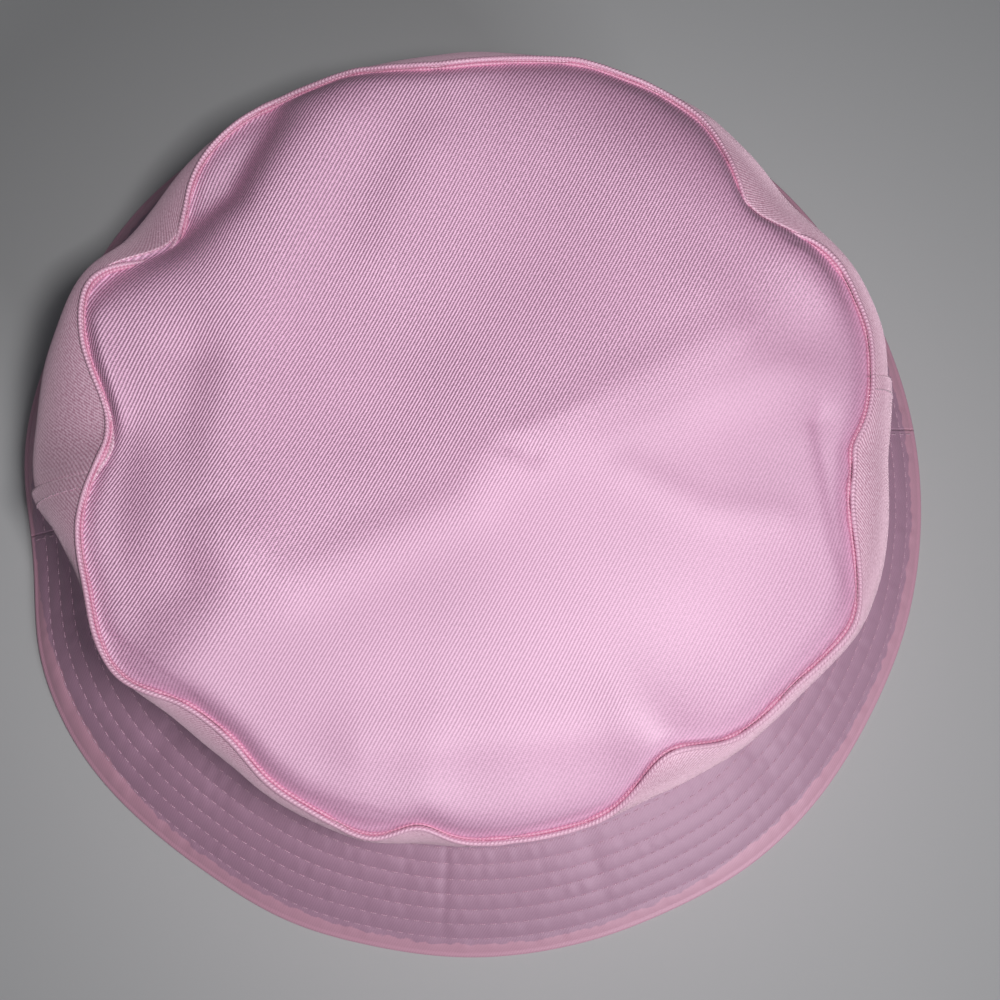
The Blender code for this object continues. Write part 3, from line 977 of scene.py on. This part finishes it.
# ---------------- thread


def capsule():
    """The unit shape of one stitch: a rounded bead, long in x, and its faces."""
    length, turn = np.meshgrid(np.linspace(-1, 1, STITCH_RINGS), ring_angles(STITCH_SIDES), indexing="ij")
    radius = np.sqrt(1 - length**STITCH_BLUNTNESS) + STITCH_END
    points = np.stack([length, radius * np.cos(turn), radius * np.sin(turn)], axis=-1)
    return points.reshape(-1, 3), grid_faces(STITCH_RINGS, STITCH_SIDES, closed=True)


def stitches(name, material, centres, along, normals, seed):
    """One mesh of stitches, each lying along the cloth at its centre. Their ends dip into the cloth."""
    shape, faces = capsule()
    random = np.random.default_rng(SEED + seed)
    side = np.cross(normals, along)
    twist = random.normal(0, STITCH_TURN, len(centres))[:, None]
    along, side = along + twist * side, side - twist * along
    length = STITCH_LENGTH / 2 * random.uniform(*STITCH_LENGTHS, len(centres))[:, None, None]
    rise = STITCH_WIDTH / 2 * STITCH_FLATNESS * shape[:, 2] - STITCH_DIP * STITCH_WIDTH * shape[:, 0] ** 2
    points = centres[:, None] + length * shape[None, :, :1] * along[:, None]
    points = points + STITCH_WIDTH / 2 * shape[None, :, 1:2] * side[:, None]
    points = points + rise[None, :, None] * normals[:, None]
    count = len(shape)
    offsets = (np.arange(len(centres)) * count)[:, None, None]
    all_faces = (faces[None] + offsets).reshape(-1, 4)
    local = np.stack([shape[:, 0] * STITCH_LENGTH / 2, shape[:, 2] * STITCH_WIDTH / 2], axis=-1)
    uvs = np.tile(local, (len(centres), 1))
    return make_object(name, points.reshape(-1, 3), all_faces, uvs, material)


def unit(vectors):
    return vectors / np.linalg.norm(vectors, axis=-1, keepdims=True)


def frames_on(surface, share, angle, step_share, step_angle):
    """Points on a surface with the unit direction of a small step along it and its outward normal."""
    along = surface(share + step_share, angle + step_angle) - surface(share - step_share, angle - step_angle)
    out = surface(share + SLOPE_STEP, angle) - surface(share - SLOPE_STEP, angle)
    round_step = surface(share, angle + SLOPE_STEP) - surface(share, angle - SLOPE_STEP)
    return surface(share, angle), unit(along), unit(np.cross(out, round_step))


def ring_of_stitches(surface, share, radius, lift):
    """Evenly spaced stitches round the hat at a share of a surface, raised along its normal."""
    count = round(FULL_TURN * radius / STITCH_PITCH)
    angle = (np.arange(count) + 0.5) * FULL_TURN / count
    point, along, normal = frames_on(surface, np.full(count, share), angle, 0.0, SLOPE_STEP)
    return point + lift * normal, along, normal


def build_quilting(materials):
    """Each row of the brim's quilting: needle stitches on top and bobbin stitches below."""
    thread = materials["thread"]
    for index, (node, radius, share) in enumerate(zip(ROW_NODES, ROW_RADII, ROW_SHARES)):
        above = ring_of_stitches(brim_surface, share, radius, STITCH_LIFT)
        below_point, along, normal = ring_of_stitches(brim_smooth, share, radius, 0.0)
        below = (below_point - (UNDER_DEPTH + CLOTH + STITCH_LIFT) * normal, along, -normal)
        centres, directions, normals = (np.concatenate(pair) for pair in zip(above, below))
        row = stitches(f"quilt_row_{index + 1}", thread, centres, directions, normals, QUILT_SEED + index)
        finish_piece(row, "pink_thread", node)


def wall_outwards(share, angle):
    """The wall with its share turned round, so that its normals point outwards."""
    return wall_surface(1 - share, angle)


def build_seam_threads(materials):
    """The rows beside the side seams and the brim seams, then the two rows inside the head opening."""
    thread = materials["thread"]
    brim_width = BRIM_RADIUS - HEAD_RADIUS
    side_rows = (
        ("side_row", wall_outwards, WALL_CLOTH_HEIGHT, SIDE_ROW_OFFSET / HEAD_RADIUS, SIDE_SEED),
        ("brim_seam_row", brim_surface, brim_width, BRIM_SEAM_ROW / BRIM_RADIUS, BRIM_SEAM_SEED),
    )
    for side, seam, towards_front in (("left", -math.pi, 1), ("right", 0.0, -1)):
        for name, surface, width, turn, seed in side_rows:
            shares = np.arange(*SIDE_ROW_SPAN, STITCH_PITCH / width)
            angle = np.full_like(shares, seam + towards_front * turn)
            point, along, normal = frames_on(surface, shares, angle, SLOPE_STEP, 0.0)
            row = stitches(f"{name}_{side}", thread, point + STITCH_LIFT * normal, along, normal, seed)
            nodes = [f"side_topstitch_{side}"] if name == "side_row" else []
            finish_piece(row, "pink_thread", *nodes)
    band_depth = SWEATBAND_DEPTH + SWEATBAND_THICKNESS
    inner = (
        ("head_seam_stitches", HEAD_ROW_SHARE, ALLOWANCE_DEPTH, "head_seam_thread"),
        ("sweatband_stitches", SWEATBAND_ROW_SHARE, band_depth, "sweatband_stitch"),
    )
    for index, (name, share, depth, node) in enumerate(inner):
        point, along, normal = ring_of_stitches(wall_outwards, share, HEAD_RADIUS, 0.0)
        row = stitches(name, thread, point - depth * normal, along, -normal, INNER_SEED + index)
        finish_piece(row, "pink_thread", node)


# ---------------- the seam's two folded edges


def seam_edge(name, material, outwards, sink, thickness, rope, unevenness, steps):
    """A folded edge that follows the seam: a tube whose surface is roped by the twill that wraps over it."""
    angle = ring_angles(steps)
    radius, height = seam_line(angle)
    tuck = shapes_at(angle, SEAM_TUCKS, 0)
    path = polar(radius + outwards - tuck, angle, height - sink - tuck)
    tangent = unit(np.roll(path, -1, axis=0) - np.roll(path, 1, axis=0))
    side = unit(np.cross(tangent, (0, 0, 1)))
    up = np.cross(side, tangent)
    length = np.concatenate([[0], np.cumsum(np.linalg.norm(np.roll(path, -1, axis=0) - path, axis=1))])
    turns = round(length[-1] / ROPE_PITCH)
    section = ring_angles(EDGE_SIDES)[:, None]
    twist = np.cos(FULL_TURN * turns * (length[:-1] / length[-1]) + section)
    towards_back = np.cos(turned(angle, ROPE_CENTRE))
    tightness = ROPE_SOFT + (ROPE_TIGHT - ROPE_SOFT) * smooth_rise(towards_back, *ROPE_SPAN)
    reach = thickness * (1 + unevenness * ripple(angle, EDGE_CELLS, EDGE_SEED) + rope * tightness * twist)
    points = path + (reach * np.cos(section))[..., None] * side + (reach * np.sin(section))[..., None] * up
    uvs = np.stack(np.broadcast_arrays(length[:-1], section * thickness), axis=-1)
    faces = grid_faces(EDGE_SIDES + 1, steps, closed=True) % (EDGE_SIDES * steps)
    return make_object(name, points.reshape(-1, 3), faces, uvs.reshape(-1, 2), material)


def build_seam(materials):
    outer = seam_edge(
        "seam_edge_wall", materials["seam_wall"],
        outwards=0.0004, sink=0.0012, thickness=0.00056, rope=0.09, unevenness=0.18, steps=4800,
    )
    finish_piece(outer, "pink_twill", "tip_seam_welt")
    inner = seam_edge(
        "seam_edge_tip", materials["seam"],
        outwards=-0.0005, sink=0.0017, thickness=0.00034, rope=0.04, unevenness=0.55, steps=1800,
    )
    finish_piece(inner, "pink_twill")


# ---------------- stage


def in_view(matrix):
    """A placement given in the picture's axes, turned into the frame's."""
    return Matrix.Rotation(-VIEW_TURN, 4, "Z") @ matrix


def add_camera():
    data = bpy.data.cameras.new("camera")
    data.lens = CAMERA_LENS
    data.sensor_width = SENSOR
    data.clip_start = CAMERA_CLIP
    camera = bpy.data.objects.new("camera", data)
    bpy.context.scene.collection.objects.link(camera)
    tilt = Matrix.Rotation(CAMERA_PITCH, 4, "X") @ Matrix.Rotation(CAMERA_ROLL, 4, "Y")
    camera.matrix_world = in_view(Matrix.Translation(CAMERA_PLACE) @ tilt)
    bpy.context.scene.camera = camera


def add_light(name, place, size, power, colour):
    """A square soft light that faces the middle of the crown."""
    data = bpy.data.lights.new(name, "AREA")
    data.size = size
    data.energy = power
    data.color = colour
    light = bpy.data.objects.new(name, data)
    bpy.context.scene.collection.objects.link(light)
    aim = (Vector(place) - Vector(LIGHT_AIM)).to_track_quat("Z", "Y").to_matrix().to_4x4()
    light.matrix_world = in_view(Matrix.Translation(place) @ aim)


def floor_material():
    material = bpy.data.materials.new("pale_floor")
    material.use_nodes = True
    shader = material.node_tree.nodes["Principled BSDF"]
    shader.inputs["Base Color"].default_value = FLOOR_COLOUR
    shader.inputs["Roughness"].default_value = FLOOR_ROUGHNESS
    return material


def add_stage():
    """The plain floor, just under the hem, and the soft light all round."""
    half = FLOOR_HALF
    corners = [(-half, -half, 0), (half, -half, 0), (half, half, 0), (-half, half, 0)]
    floor_mesh = bpy.data.meshes.new("floor")
    floor_mesh.from_pydata(corners, [], [(0, 1, 2, 3)])
    floor_mesh.materials.append(floor_material())
    floor = bpy.data.objects.new("floor", floor_mesh)
    floor.location.z = -FLOOR_GAP
    bpy.context.scene.collection.objects.link(floor)
    world = bpy.data.worlds.new("studio")
    world.use_nodes = True
    background = world.node_tree.nodes["Background"]
    background.inputs["Color"].default_value = AMBIENT_COLOUR
    background.inputs["Strength"].default_value = AMBIENT
    bpy.context.scene.world = world
    bpy.context.scene.view_settings.view_transform = "Standard"


def main():
    materials = make_materials()
    build_tip(materials)
    build_walls(materials)
    build_brim(materials)
    build_allowances(materials)
    build_inside(materials)
    build_quilting(materials)
    build_seam_threads(materials)
    build_seam(materials)
    add_camera()
    add_stage()
    for light in LIGHTS:
        add_light(*light)


main()
